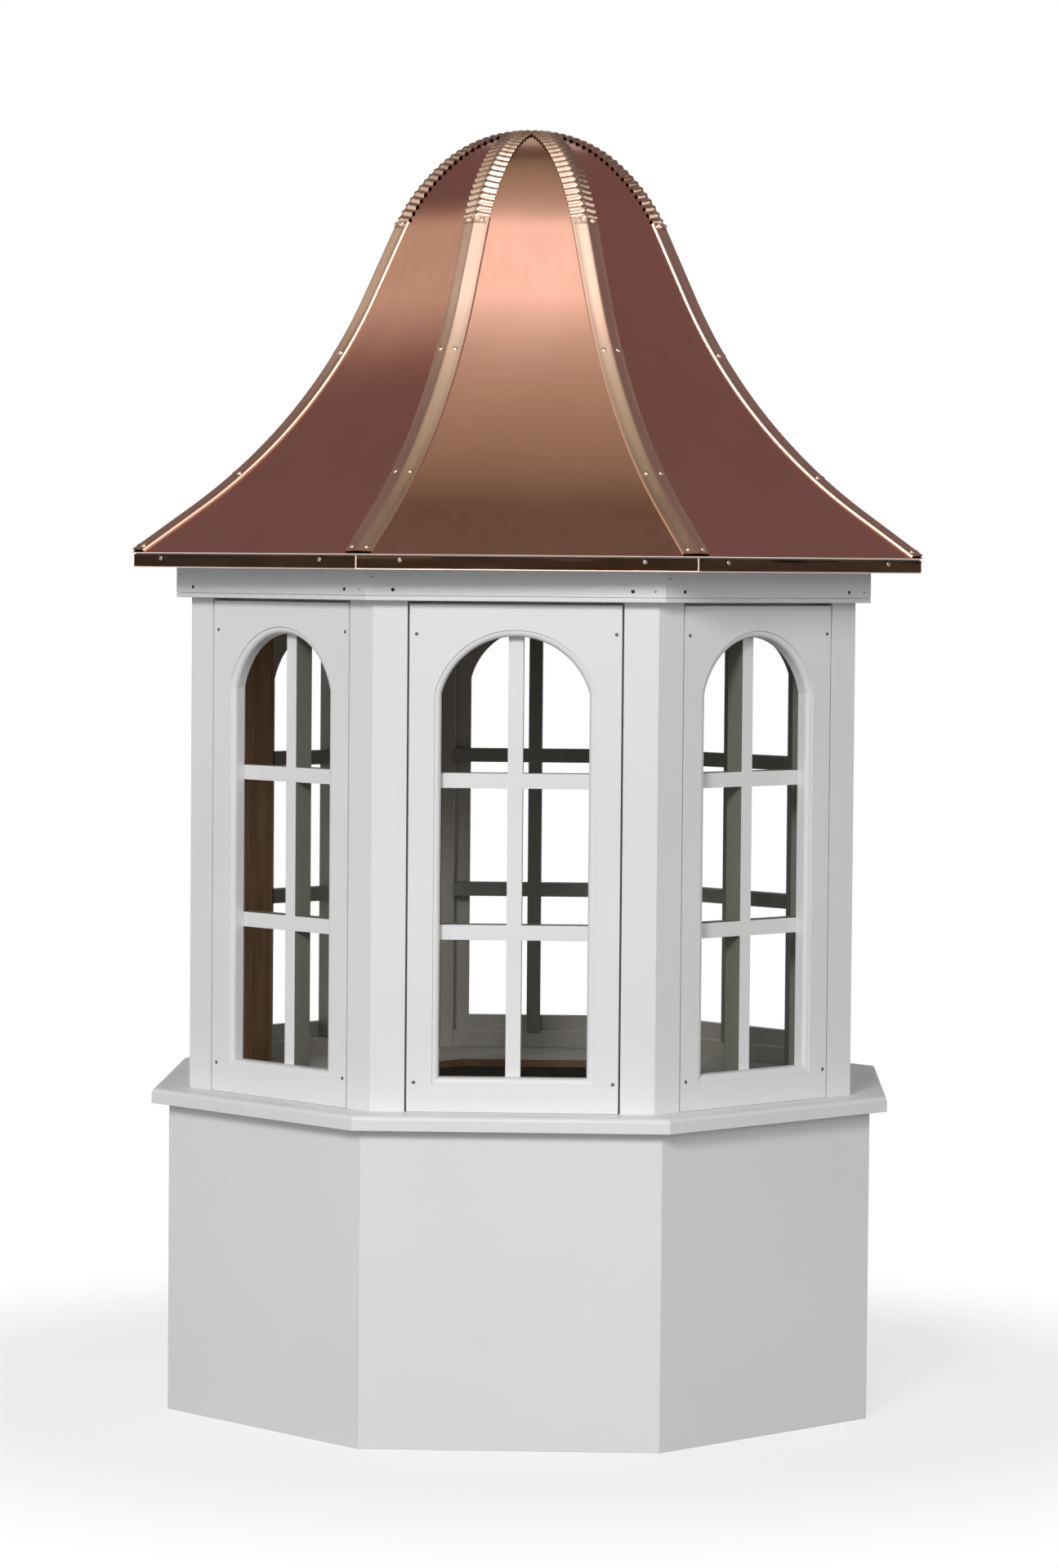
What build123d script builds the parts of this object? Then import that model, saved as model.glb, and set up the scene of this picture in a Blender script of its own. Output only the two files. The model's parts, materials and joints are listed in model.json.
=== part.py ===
from build123d import *
import os
from math import cos, sin, tan, radians, sqrt

# Eight-sided windowed cupola: white vinyl base and lantern under a bell-shaped copper roof.
# Millimetres, +Z up. The origin is on the vertical axis, at the underside of the base.
# The front faces -Y. Every side of the body is the same.

# Plan
side_count = 8
base_apothem = 457.2        # axis to the outside of a base panel: 36 inches across the flats
half_corner = 180 / side_count
turn_per_side = 360 / side_count
side_names = ["front", "front_right", "right", "back_right", "back", "back_left", "left", "front_left"]
front_angle = -90

# Boards and clearances
seat_gap = 0.3              # between pieces that are fastened to each other
hair = 0.01                 # how near a plane an edge lies that is picked by it

# Base
base_height = 403.6
base_board = 19.0
corner_block_face = 38.0    # width of the wood block along each panel
corner_block_depth = 52.0   # from the inside corner towards the axis
corner_block_lift = 12.0

# Sill and the deck inside it
sill_overhang = 22.3
sill_thickness = 19.0
sill_nose_radius = 6.0
sill_width = 69.5           # from the nose to the rabbet that takes the deck
deck_thickness = 9.5
deck_lip = 20.0             # how far the sill reaches in under the deck
deck_width = 191.0

# Lantern walls
wall_setback = 25.3         # lantern face behind the base face
wall_board = 19.0
lantern_height = 680.4      # sill top to the underside of the eave board
post_face = 43.5            # width of a corner post on each of its two sides
panel_side_gap = 2.5
panel_top_gap = 3.5
head_rail_height = 39.0     # the part of the head rail in line with the panels
head_rail_drop = 24.0       # how far it reaches down behind the panel
bottom_rail_height = 22.0
backer_board = 19.0
backer_lap = 18.0           # how far the backer covers the panel's edge
stud_face = 30.0
stud_depth = 44.0

# Window
window_width = 186.0
window_rise = 43.9          # sill top to the bottom of the opening
pane_height = 172.0
pane_rows = 3
arch_rise = 72.0
bar_width = 19.0
bar_depth = 26.0
edge_step_width = 8.0       # the routed line round the opening
edge_step_depth = 1.6
edge_radius = 6.0

# Frieze under the eave
frieze_height = 38.6
frieze_thickness = 19.0
frieze_radius = 1.2
frieze_bead = 5.2           # plain lip below the fine groove
frieze_groove_width = 1.2
frieze_groove_depth = 1.5

# Eave
roof_turn = 1.8             # degrees that the roof sits turned on the lantern
eave_apothem = 510.0        # axis to the outside of the copper band
eave_board = 19.0
eave_board_width = 122.0
band_sheet = 2.5
drip = 1.5                  # how far the roof sheet stands out past the band

# Bell profile of the hip strips, from the top down
crown_radius = 169.0
crown_slope = 42.0          # slope, in degrees, where crown and shoulder meet
shoulder_radius = 265.0
steep_slope = 66.6
steep_length = 97.0
bell_radius = 704.0
eave_slope = 37.2

# Roof sheets, strips and frame
strip_sheet = 2.0
cap_sheet = 2.0
roof_sheet = 2.5
strip_width = 17.5          # in plan, on each side of a hip
cap_drop = 136.5            # top of the roof to the lower end of the crimped caps
cap_lap = 14.0              # how far the strips run up under the caps
rafter_thickness = 15.0
rafter_depth = 60.0
king_apothem = 36.0
king_height = 130.0


# Levels that follow
sill_bottom = base_height
sill_top = sill_bottom + sill_thickness
soffit_level = sill_top + lantern_height
eave_board_top = soffit_level + eave_board
panel_top = soffit_level - head_rail_height - panel_top_gap
window_bottom = sill_top + window_rise
window_crown = window_bottom + pane_rows * pane_height + (pane_rows - 1) * bar_width
window_spring = window_crown - arch_rise

# Apothems that follow, from outside to inside
sill_apothem = base_apothem + sill_overhang
rabbet_apothem = sill_apothem - sill_width
wall_apothem = base_apothem - wall_setback
wall_inside = wall_apothem - wall_board
backer_outside = wall_inside - seat_gap
backer_inside = backer_outside - backer_board
miter_reach = 1.5 * eave_apothem    # longer than any corner radius, for wedge-shaped cuts


def half_side(apothem):
    """Half the length of an octagon's side."""
    return apothem * tan(radians(half_corner))


post_edge = half_side(wall_apothem) - post_face
panel_half = post_edge - panel_side_gap
backer_edge = panel_half - backer_lap


def octagon(apothem):
    """Octagon in plan with a flat towards each axis."""
    radius = apothem / cos(radians(half_corner))
    angles = [radians(half_corner + turn_per_side * i) for i in range(side_count)]
    return Polygon(*[(radius * cos(a), radius * sin(a)) for a in angles], align=None)


def ring(outside, inside, bottom, top):
    """Eight-sided ring of boards between two apothems and two levels."""
    return Pos(0, 0, bottom) * extrude(octagon(outside) - octagon(inside), top - bottom)


def wedge(first=0.0):
    """Sector towards +X that one side of the octagon takes up, its point first mm from the axis."""
    reach = (miter_reach - first) * tan(radians(half_corner))
    outline = Polygon((first, 0), (miter_reach, -reach), (miter_reach, reach), align=None)
    return Pos(0, 0, -1) * extrude(outline, 3 * miter_reach)


def upright(outline, bottom, top):
    """Plan outline raised from one level to another."""
    return Pos(0, 0, bottom) * extrude(outline, top - bottom)


def wall_block(apothem, thickness, half_width, bottom, top):
    """Board in the wall towards +X, its outer face at the apothem."""
    centre = Pos(apothem - thickness / 2, 0, (bottom + top) / 2)
    return centre * Box(thickness, 2 * half_width, top - bottom)


def to_side(index):
    """Turns a piece made towards +X to one of the sides."""
    return Rot(0, 0, front_angle + turn_per_side * index)


def to_corner(index):
    """Turns a piece made towards +X to one of the corners."""
    return Rot(0, 0, front_angle + turn_per_side * (index + 0.5))


def corner_angle(apothem, face, thickness):
    """Section of two boards that meet at a corner on +X, the outer faces at the apothem."""
    a = radians(half_corner)
    corner = apothem / cos(a)
    inner = (apothem - thickness) / cos(a)
    end = (corner - face * sin(a), face * cos(a))
    end_inside = (end[0] - thickness * cos(a), end[1] - thickness * sin(a))
    return Polygon(
        (corner, 0), end, end_inside, (inner, 0),
        (end_inside[0], -end_inside[1]), (end[0], -end[1]), align=None)


def corner_kite(apothem, face, depth):
    """Section of a block that fills an inside corner on +X."""
    a = radians(half_corner)
    corner = apothem / cos(a)
    side = (corner - face * sin(a), face * cos(a))
    return Polygon((corner, 0), side, (corner - depth, 0), (side[0], -side[1]), align=None)


def save(shape, name):
    """Writes one named piece."""
    shape.label = name
    export_step(shape, f"parts/{name}.step")


def together(shapes):
    """Several like solids that share a name."""
    return Compound(children=list(shapes))


# Base: eight mitred panels with a wood block in each corner
def base_panel():
    inside = base_apothem - base_board
    plan = Polygon(
        (base_apothem, -half_side(base_apothem)), (base_apothem, half_side(base_apothem)),
        (inside, half_side(inside)), (inside, -half_side(inside)), align=None)
    return upright(plan, 0, base_height)


def base_corner_blocks():
    inside = base_apothem - base_board - seat_gap
    block = upright(corner_kite(inside, corner_block_face, corner_block_depth), corner_block_lift, base_height)
    return together(to_corner(i) * block for i in range(side_count))


# Sill: a mitred ring, its nose rounded above and square below, rabbeted for the deck inside it
def sill_ring():
    board = ring(sill_apothem, rabbet_apothem - deck_lip, sill_bottom, sill_top)
    nose = board.edges().group_by(Axis.Z)[-1].sort_by(lambda e: e.length)[-side_count:]
    board = fillet(nose, sill_nose_radius)
    rabbet = upright(octagon(rabbet_apothem), sill_top - deck_thickness, sill_top + deck_thickness)
    return board - rabbet


def deck_ring():
    outside = rabbet_apothem - seat_gap
    return ring(outside, outside - deck_width, sill_top - deck_thickness, sill_top)


# Lantern frame: corner posts, backers, studs and rails
def corner_posts():
    post = upright(corner_angle(wall_apothem, post_face, wall_board), sill_top, soffit_level)
    return together(to_corner(i) * post for i in range(side_count))


def corner_backers():
    face = half_side(backer_outside) - backer_edge
    backer = upright(corner_angle(backer_outside, face, backer_board), sill_top, soffit_level)
    return together(to_corner(i) * backer for i in range(side_count))


def corner_studs():
    section = corner_kite(backer_inside - seat_gap, stud_face, stud_depth)
    stud = upright(section, sill_top, soffit_level)
    return together(to_corner(i) * stud for i in range(side_count))


def bottom_rails():
    half = backer_edge - seat_gap
    rail = wall_block(backer_outside, backer_board, half, sill_top, sill_top + bottom_rail_height)
    return together(to_side(i) * rail for i in range(side_count))


head_rail_bottom = panel_top - head_rail_drop


def head_rails():
    face_bottom = soffit_level - head_rail_height
    half = backer_edge - seat_gap
    face = wall_block(wall_apothem, wall_board + seat_gap, post_edge - seat_gap, face_bottom, soffit_level)
    behind = wall_block(backer_outside, backer_board, half, head_rail_bottom, soffit_level)
    return together(to_side(i) * (face + behind) for i in range(side_count))


# Window panel: one board with an arched opening, routed round its outer edge
def opening_outline(grow):
    """Arched outline in the wall's own plane, grown by a margin on every side."""
    half = window_width / 2 + grow
    low = window_bottom - grow
    rise_radius = (arch_rise ** 2 + (window_width / 2) ** 2) / (2 * arch_rise) + grow
    centre = window_crown + grow - rise_radius
    spring = centre + sqrt(rise_radius ** 2 - half ** 2)
    arch = ThreePointArc((half, spring), (0, window_crown + grow), (-half, spring))
    edges = [Line((-half, low), (half, low)), Line((half, low), (half, spring)), arch,
             Line((-half, spring), (-half, low))]
    return make_face(edges)


def window_panel():
    board = wall_block(wall_apothem, wall_board, panel_half, sill_top + seat_gap, panel_top)
    face = Plane(origin=(wall_apothem, 0, 0), x_dir=(0, 1, 0), z_dir=(1, 0, 0))
    board -= extrude(face * opening_outline(edge_step_width), -edge_step_depth)
    step_face = face.offset(-edge_step_depth)
    board -= extrude(step_face * opening_outline(0), -2 * wall_board)
    level = wall_apothem - edge_step_depth
    on_step = board.edges().filter_by_position(Axis.X, level - hair, level + hair)
    limit = window_width / 2 + edge_step_width / 2
    rim = [e for e in on_step if abs(e.center().Y) < limit and opening_edge(e)]
    return fillet(rim, edge_radius)


def opening_edge(edge):
    """True for an edge of the opening itself, false for one of the routed line outside it."""
    middle = edge @ 0.5
    inset = edge_step_width / 2
    if middle.Z < window_bottom + inset:
        return middle.Z > window_bottom - inset
    if middle.Z > window_spring + inset:
        return middle.Z < window_crown + inset
    return abs(middle.Y) < window_width / 2 + inset


# Window bars: one upright and two crossbars behind each panel, halved into each other
def window_bars():
    low = sill_top + bottom_rail_height + seat_gap
    upright_bar = wall_block(backer_outside, bar_depth, bar_width / 2, low, head_rail_bottom - seat_gap)
    bars = upright_bar
    for row in range(1, pane_rows):
        bottom = window_bottom + row * pane_height + (row - 1) * bar_width
        bars += wall_block(backer_outside, bar_depth, backer_edge - seat_gap, bottom, bottom + bar_width)
    return bars


# Frieze: a band round the lantern, with a fine groove that sets off a lip along its lower edge
def frieze_ring():
    inside = wall_apothem + seat_gap
    face = inside + frieze_thickness
    low = soffit_level - frieze_height
    band = ring(face, inside, low, soffit_level)
    low_edges = band.edges().group_by(Axis.Z)[0].sort_by(lambda e: e.length)[-side_count:]
    lip_top = low + frieze_bead
    groove = ring(face + frieze_groove_depth, face - frieze_groove_depth, lip_top, lip_top + frieze_groove_width)
    return fillet(low_edges, frieze_radius) - groove


# Eave: the board that closes it from below, and the copper band round its edge
eave_board_apothem = eave_apothem - band_sheet - seat_gap
eave_board_inside = eave_board_apothem - eave_board_width


def eave_ring():
    return ring(eave_board_apothem, eave_board_inside, soffit_level, eave_board_top)


# Roof profile: tangent arcs and straights, each point with its slope
def arc_end(start, slope, end_slope, radius):
    """End of an arc that starts with one slope and ends with another; a hollow arc has radius below 0."""
    s, e = radians(slope), radians(end_slope)
    return (start[0] + radius * (sin(e) - sin(s)), start[1] + radius * (cos(e) - cos(s)))


def straight_end(start, slope, length):
    return (start[0] + length * cos(radians(slope)), start[1] - length * sin(radians(slope)))


crown_end = arc_end((0, 0), 0, crown_slope, crown_radius)
shoulder_end = arc_end(crown_end, crown_slope, steep_slope, shoulder_radius)
steep_end = straight_end(shoulder_end, steep_slope, steep_length)
bell_end = arc_end(steep_end, steep_slope, eave_slope, -bell_radius)

# The under side of the roof sheet clears the outer top edge of the eave board by the seat gap
sheet_outside = strip_sheet + seat_gap
sheet_inside = sheet_outside + roof_sheet
flare_drop = (eave_board_apothem - bell_end[0]) * tan(radians(eave_slope))
inset_drop = (sheet_inside + seat_gap) / cos(radians(eave_slope))
top_level = eave_board_top - bell_end[1] + flare_drop + inset_drop
drip_apothem = eave_apothem + drip
start_slope = -3.0          # the crown's section starts just past the axis


def inset(point, slope, depth):
    """Point of the profile moved in below the surface."""
    s = radians(slope)
    return (point[0] - depth * sin(s), top_level + point[1] - depth * cos(s))


def profile_edges(depth):
    """Edges of the bell at a depth below the strips' outer surface, from the top to the drip."""
    start = arc_end((0, 0), 0, start_slope, crown_radius)
    crown_middle = arc_end((0, 0), 0, crown_slope / 2, crown_radius)
    shoulder_slope = (crown_slope + steep_slope) / 2
    shoulder_middle = arc_end(crown_end, crown_slope, shoulder_slope, shoulder_radius)
    bell_slope = (steep_slope + eave_slope) / 2
    bell_middle = arc_end(steep_end, steep_slope, bell_slope, -bell_radius)
    first = inset(start, start_slope, depth)
    second = inset(crown_end, crown_slope, depth)
    third = inset(shoulder_end, steep_slope, depth)
    fourth = inset(steep_end, steep_slope, depth)
    fifth = inset(bell_end, eave_slope, depth)
    last = (drip_apothem, fifth[1] - (drip_apothem - fifth[0]) * tan(radians(eave_slope)))
    edges = [
        ThreePointArc(first, inset(crown_middle, crown_slope / 2, depth), second),
        ThreePointArc(second, inset(shoulder_middle, shoulder_slope, depth), third),
        Line(third, fourth),
        ThreePointArc(fourth, inset(bell_middle, bell_slope, depth), fifth),
        Line(fifth, last),
    ]
    return first, last, edges


def sector_shell(outer_depth, inner_depth):
    """One side of the bell between two depths, towards +X and mitred along its hips."""
    outer_first, outer_last, outer = profile_edges(outer_depth)
    inner_first, inner_last, inner = profile_edges(inner_depth)
    ends = [Line(outer_first, inner_first), Line(outer_last, inner_last)]
    section = Plane.XZ * make_face(outer + inner + ends)
    return extrude(section, half_side(miter_reach), both=True) & wedge()


def hip_flanges(outer_depth, inner_depth):
    """The two strips of one side that lie along its hips."""
    return sector_shell(outer_depth, inner_depth) - wedge(strip_width / sin(radians(half_corner)))


def level_box(bottom, top):
    """Block wider than the roof between two levels."""
    return Pos(0, 0, (bottom + top) / 2) * Box(2 * miter_reach, 2 * miter_reach, top - bottom)


def hip_half(shell):
    """The part of a side's shell on the positive side of its centre line, turned so that its hip lies on +X."""
    half = shell & (Pos(0, miter_reach / 2, top_level / 2) * Box(3 * miter_reach, miter_reach, 2 * top_level))
    return Rot(0, 0, -half_corner) * half


def along_hip(shell):
    """A piece over the hip on +X from the shells of the two sides that meet there."""
    half = hip_half(shell)
    return half + mirror(half, about=Plane.XZ)


cap_outside = -(cap_sheet + seat_gap)
cap_bottom = top_level - cap_outside - cap_drop
strip_top = cap_bottom + cap_lap


def to_roof_side(index):
    return Rot(0, 0, roof_turn) * to_side(index)


def to_roof_corner(index):
    return Rot(0, 0, roof_turn) * to_corner(index)


def roof_panel():
    return sector_shell(sheet_outside, sheet_inside)


def hip_strips():
    low_part = level_box(soffit_level, strip_top)
    strip = along_hip(hip_flanges(0, strip_sheet) & low_part)
    return together(to_roof_corner(i) * strip for i in range(side_count))


def crown_caps():
    high_part = level_box(cap_bottom, top_level + cap_drop)
    flanges = hip_flanges(cap_outside, -seat_gap) & high_part
    caps = to_roof_side(0) * flanges
    for index in range(1, side_count):
        caps += to_roof_side(index) * flanges
    return caps


def eave_band():
    """Copper band under the drip of the roof sheets."""
    inside = eave_apothem - band_sheet
    fifth = inset(bell_end, eave_slope, sheet_inside + seat_gap)
    top = fifth[1] - (eave_apothem - fifth[0]) * tan(radians(eave_slope))
    return Rot(0, 0, roof_turn) * ring(eave_apothem, inside, soffit_level, top)


# Roof frame: a rafter under each hip, against a block under the top
king_reach = king_apothem / cos(radians(half_corner))
frame_depth = sheet_inside + seat_gap
king_sphere = crown_radius - frame_depth
king_top = top_level - crown_radius + sqrt(king_sphere ** 2 - king_reach ** 2)


def roof_rafters():
    slab = Pos(miter_reach / 2, 0, top_level / 2) * Box(miter_reach, rafter_thickness, 2 * top_level)
    rafter = along_hip(sector_shell(frame_depth, frame_depth + rafter_depth)) & slab
    rafter &= level_box(eave_board_top, top_level)
    corner_on_x = Rot(0, 0, half_corner)
    rafter &= corner_on_x * upright(octagon(eave_board_apothem), 0, top_level)
    rafter -= corner_on_x * upright(octagon(king_apothem + seat_gap), 0, 2 * top_level)
    return together(to_roof_corner(i) * rafter for i in range(side_count))


def king_block():
    block = upright(octagon(king_apothem), king_top - king_height, king_top)
    return Rot(0, 0, roof_turn) * block


os.makedirs("parts", exist_ok=True)
one_base_panel = base_panel()
one_window_panel = window_panel()
one_window_grid = window_bars()
one_roof_panel = roof_panel()
for index, side in enumerate(side_names):
    save(to_side(index) * one_base_panel, f"base_panel_{side}")
    save(to_side(index) * one_window_panel, f"window_panel_{side}")
    save(to_side(index) * one_window_grid, f"window_bars_{side}")
    save(to_roof_side(index) * one_roof_panel, f"roof_panel_{side}")
save(base_corner_blocks(), "base_corner_blocks")
save(sill_ring(), "sill_ring")
save(deck_ring(), "deck_ring")
save(corner_posts(), "corner_posts")
save(corner_backers(), "corner_backers")
save(corner_studs(), "corner_studs")
save(bottom_rails(), "bottom_rails")
save(head_rails(), "head_rails")
save(frieze_ring(), "frieze_ring")
save(Rot(0, 0, roof_turn) * eave_ring(), "eave_board")
save(eave_band(), "eave_band")
save(hip_strips(), "hip_strips")
save(crown_caps(), "crown_caps")
save(roof_rafters(), "roof_rafters")
save(king_block(), "king_block")
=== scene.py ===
# %% [markdown]
# # An eight-sided cupola with a bell-shaped copper roof
# A cupola is a small lantern that stands on the ridge of a roof. This one has a plain white base, eight
# arched windows with bars and a roof of bent copper sheet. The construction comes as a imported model. Its
# pieces keep their places, and this lesson gives them their finishes and adds what a sheet-metal worker
# and a joiner would add last: crimped caps, folded edges, rivets, screws and nails.

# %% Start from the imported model
import bpy
import json
from math import sin, cos, tan, radians, pi, hypot
from mathutils import Matrix, Vector


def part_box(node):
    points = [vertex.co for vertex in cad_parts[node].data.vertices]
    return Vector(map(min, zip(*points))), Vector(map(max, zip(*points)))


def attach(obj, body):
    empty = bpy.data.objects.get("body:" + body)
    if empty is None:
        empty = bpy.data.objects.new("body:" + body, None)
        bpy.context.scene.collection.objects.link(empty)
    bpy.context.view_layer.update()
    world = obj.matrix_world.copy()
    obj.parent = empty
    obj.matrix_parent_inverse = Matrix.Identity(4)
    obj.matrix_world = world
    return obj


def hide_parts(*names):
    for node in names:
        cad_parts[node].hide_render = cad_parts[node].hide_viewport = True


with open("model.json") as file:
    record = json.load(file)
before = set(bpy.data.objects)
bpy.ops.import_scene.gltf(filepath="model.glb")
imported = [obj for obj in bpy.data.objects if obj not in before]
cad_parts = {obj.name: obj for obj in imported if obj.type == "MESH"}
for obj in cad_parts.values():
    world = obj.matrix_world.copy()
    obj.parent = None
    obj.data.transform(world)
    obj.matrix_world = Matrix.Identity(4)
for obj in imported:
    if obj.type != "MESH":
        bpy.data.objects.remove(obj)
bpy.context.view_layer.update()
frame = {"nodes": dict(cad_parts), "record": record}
nodes = frame["nodes"]
scene = bpy.context.scene

# %% [markdown]
# ## Sizes that this lesson needs
# Millimetres are easier to think in for sheet metal, so sizes are written as `12 * mm`. The bell of the
# roof is the same on all sides: a round crown, a shoulder, a steep straight, a long hollow curve and a
# straight flare at the eave. Each stretch starts with the slope that the last one ended with.

# %% Sizes of the plan and the bell
mm = 0.001
side_names = ["front", "front_right", "right", "back_right", "back", "back_left", "left", "front_left"]
side_count = len(side_names)
half_turn = pi / side_count
front_angle = radians(-90)
roof_turn = radians(1.8)

crown_radius = 169 * mm
crown_slope = radians(42)
shoulder_radius = 265 * mm
steep_slope = radians(66.6)
steep_length = 97 * mm
bell_radius = 704 * mm
eave_slope = radians(37.2)

strip_sheet = 2 * mm
cap_sheet = 2 * mm
seat_gap = 0.3 * mm
drip = 1.5 * mm
strip_width = 17.5 * mm
eave_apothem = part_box("eave_band")[1].x * cos(half_turn) / cos(half_turn - roof_turn)
drip_apothem = eave_apothem + drip
bell_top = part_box("crown_caps")[1].z - cap_sheet - seat_gap
print("eave, axis to flat:", round(eave_apothem, 4), "top of the bell:", round(bell_top, 4))

# %% The bell as a rule: distance from the axis, height and slope after a run down the surface
stretches = [
    ("arc", 0.0, crown_slope, crown_radius),
    ("arc", crown_slope, steep_slope, shoulder_radius),
    ("line", steep_slope, steep_slope, steep_length),
    ("arc", steep_slope, eave_slope, -bell_radius),
]
longest_run = 1.2
halvings = 40


def stretch_length(kind, first, last, size):
    return size if kind == "line" else (last - first) * size


def along_stretch(kind, first, size, run):
    """Move and slope after a run into one stretch."""
    if kind == "line":
        return run * cos(first), -run * sin(first), first
    slope = first + run / size
    return size * (sin(slope) - sin(first)), size * (cos(slope) - cos(first)), slope


def bell(run, lift=0.0):
    """Point of the bell after a run from the top, lifted off the surface: apothem, height, slope."""
    apothem, height, left = 0.0, bell_top, run
    for kind, first, last, size in stretches:
        length = stretch_length(kind, first, last, size)
        out, up, slope = along_stretch(kind, first, size, min(left, length))
        apothem, height, left = apothem + out, height + up, left - length
        if left <= 0:
            break
    if left > 0:
        slope = eave_slope
        apothem, height = apothem + left * cos(slope), height - left * sin(slope)
    return apothem + lift * sin(slope), height + lift * cos(slope), slope


def run_where(test):
    """Run at which a test turns true, by halving the stretch between the top and past the eave."""
    low, high = 0.0, longest_run
    for _ in range(halvings):
        middle = (low + high) / 2
        if test(bell(middle)):
            high = middle
        else:
            low = middle
    return high


def run_at_height(height):
    return run_where(lambda p: p[1] < height)


def run_at_apothem(apothem, lift=0.0):
    return run_where(lambda p: p[0] + lift * sin(p[2]) > apothem)


eave_run = run_at_apothem(drip_apothem)
print("from top to drip along the sheet:", round(eave_run, 4))

# %% [markdown]
# ## Small helpers
# A mesh is made from points and faces. A finished piece lies at the origin with its place in its mesh,
# rides on the body and hides the imported parts that it stands for.

# %% Meshes and finished pieces


def new_mesh(name, points, faces):
    mesh = bpy.data.meshes.new(name)
    mesh.from_pydata([tuple(p) for p in points], [], faces)
    mesh.validate()
    piece = bpy.data.objects.new(name, mesh)
    scene.collection.objects.link(piece)
    return piece


def grid_faces(rows, columns):
    """Faces of a grid of points, row by row."""
    faces = []
    for row in range(rows - 1):
        for column in range(columns - 1):
            a = row * columns + column
            faces.append((a, a + 1, a + columns + 1, a + columns))
    return faces


def shade_smooth(piece, angle=35):
    for face in piece.data.polygons:
        face.use_smooth = True
    piece.data.set_sharp_from_angle(angle=radians(angle))


def bake(piece):
    """Turns a piece with modifiers into a plain mesh."""
    seen = piece.evaluated_get(bpy.context.evaluated_depsgraph_get())
    mesh = bpy.data.meshes.new_from_object(seen)
    mesh.name = piece.name
    piece.modifiers.clear()
    piece.data = mesh


def thicken(piece, thickness, offset=-1.0):
    """Gives a sheet its thickness; its underside and cut edges take the piece's second material."""
    wall = piece.modifiers.new("thickness", "SOLIDIFY")
    wall.thickness = thickness
    wall.offset = offset
    wall.material_offset = 1
    wall.material_offset_rim = 1


def set_finishes(piece, *materials):
    piece.data.materials.clear()
    for material in materials:
        piece.data.materials.append(material)


def finish_piece(piece, slot, *stands_for):
    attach(piece, "root")
    if stands_for:
        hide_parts(*stands_for)
    print(piece.name, "faces:", len(piece.data.polygons))


# %% [markdown]
# ## Finishes
# Each finish is built from nodes. Patterns read Object coordinates, in metres, so a scale of 100 gives
# features of about a centimetre. White board is plain, so its life comes from softened edges and a faint
# cloud. Faces turned inward take a painted shade, a darker colour for the little light that reaches
# them, and the window bars take it on all but their outer face: one material compares each face with the
# way to the axis, which is less work than painting faces apart. Bent copper is nearly a mirror, so it gets
# little pattern. A slight streak along the sheet, in its colour and in its roughness, is what makes it look
# like metal from a mill.

# %% Node helpers


def add(tree, kind, **settings):
    """A node with some of its settings."""
    node = tree.nodes.new(kind)
    for key, value in settings.items():
        setattr(node, key, value)
    return node


def wire(tree, source, node, socket):
    tree.links.new(source, node.inputs[socket])


def calculate(tree, operation, first, second):
    node = add(tree, "ShaderNodeMath", operation=operation)
    for place, value in ((0, first), (1, second)):
        if isinstance(value, (int, float)):
            node.inputs[place].default_value = value
        else:
            tree.links.new(value, node.inputs[place])
    return node.outputs[0]


def new_material(name):
    material = bpy.data.materials.new(name)
    material.use_nodes = True
    tree = material.node_tree
    shader = tree.nodes["Principled BSDF"]
    where = add(tree, "ShaderNodeTexCoord")
    return material, tree, shader, where.outputs["Object"]


def stretched(tree, vector, scale):
    """Coordinates scaled by a different amount along each axis."""
    mapping = add(tree, "ShaderNodeMapping")
    mapping.inputs["Scale"].default_value = scale
    tree.links.new(vector, mapping.inputs["Vector"])
    return mapping.outputs["Vector"]


def noise(tree, vector, scale, detail, roughness=0.5):
    node = add(tree, "ShaderNodeTexNoise")
    node.inputs["Scale"].default_value = scale
    node.inputs["Detail"].default_value = detail
    node.inputs["Roughness"].default_value = roughness
    tree.links.new(vector, node.inputs["Vector"])
    return node.outputs["Fac"]


def ramp(tree, factor, stops):
    node = add(tree, "ShaderNodeValToRGB")
    points = node.color_ramp.elements
    while len(points) < len(stops):
        points.new(0.5)
    for point, (place, colour) in zip(points, stops):
        point.position = place
        point.color = (*colour, 1)
    tree.links.new(factor, node.inputs["Fac"])
    return node.outputs["Color"]


def fit_range(tree, value, low, high):
    node = add(tree, "ShaderNodeMapRange")
    node.inputs["To Min"].default_value = low
    node.inputs["To Max"].default_value = high
    tree.links.new(value, node.inputs["Value"])
    return node.outputs["Result"]


def share_between(tree, value, start, end):
    """0 where the value is at start or before, 1 where it is at end or past it."""
    node = add(tree, "ShaderNodeMapRange")
    node.inputs["From Min"].default_value = start
    node.inputs["From Max"].default_value = end
    tree.links.new(value, node.inputs["Value"])
    return node.outputs["Result"]


def mixed(tree, factor, first, second):
    node = add(tree, "ShaderNodeMix", data_type="RGBA")
    for socket, value in (("Factor", factor), ("A", first), ("B", second)):
        named = [s for s in node.inputs if s.name == socket and s.enabled]
        target = [s for s in named if s.type in ("RGBA", "VALUE")][0]
        if isinstance(value, (tuple, float)):
            target.default_value = (*value, 1) if isinstance(value, tuple) else value
        else:
            tree.links.new(value, target)
    return [s for s in node.outputs if s.enabled][0]


def bump(tree, shader, height, distance, strength, base=None):
    node = add(tree, "ShaderNodeBump")
    node.inputs["Distance"].default_value = distance
    node.inputs["Strength"].default_value = strength
    tree.links.new(height, node.inputs["Height"])
    if base is not None:
        tree.links.new(base, node.inputs["Normal"])
    tree.links.new(node.outputs["Normal"], shader.inputs["Normal"])


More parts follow.
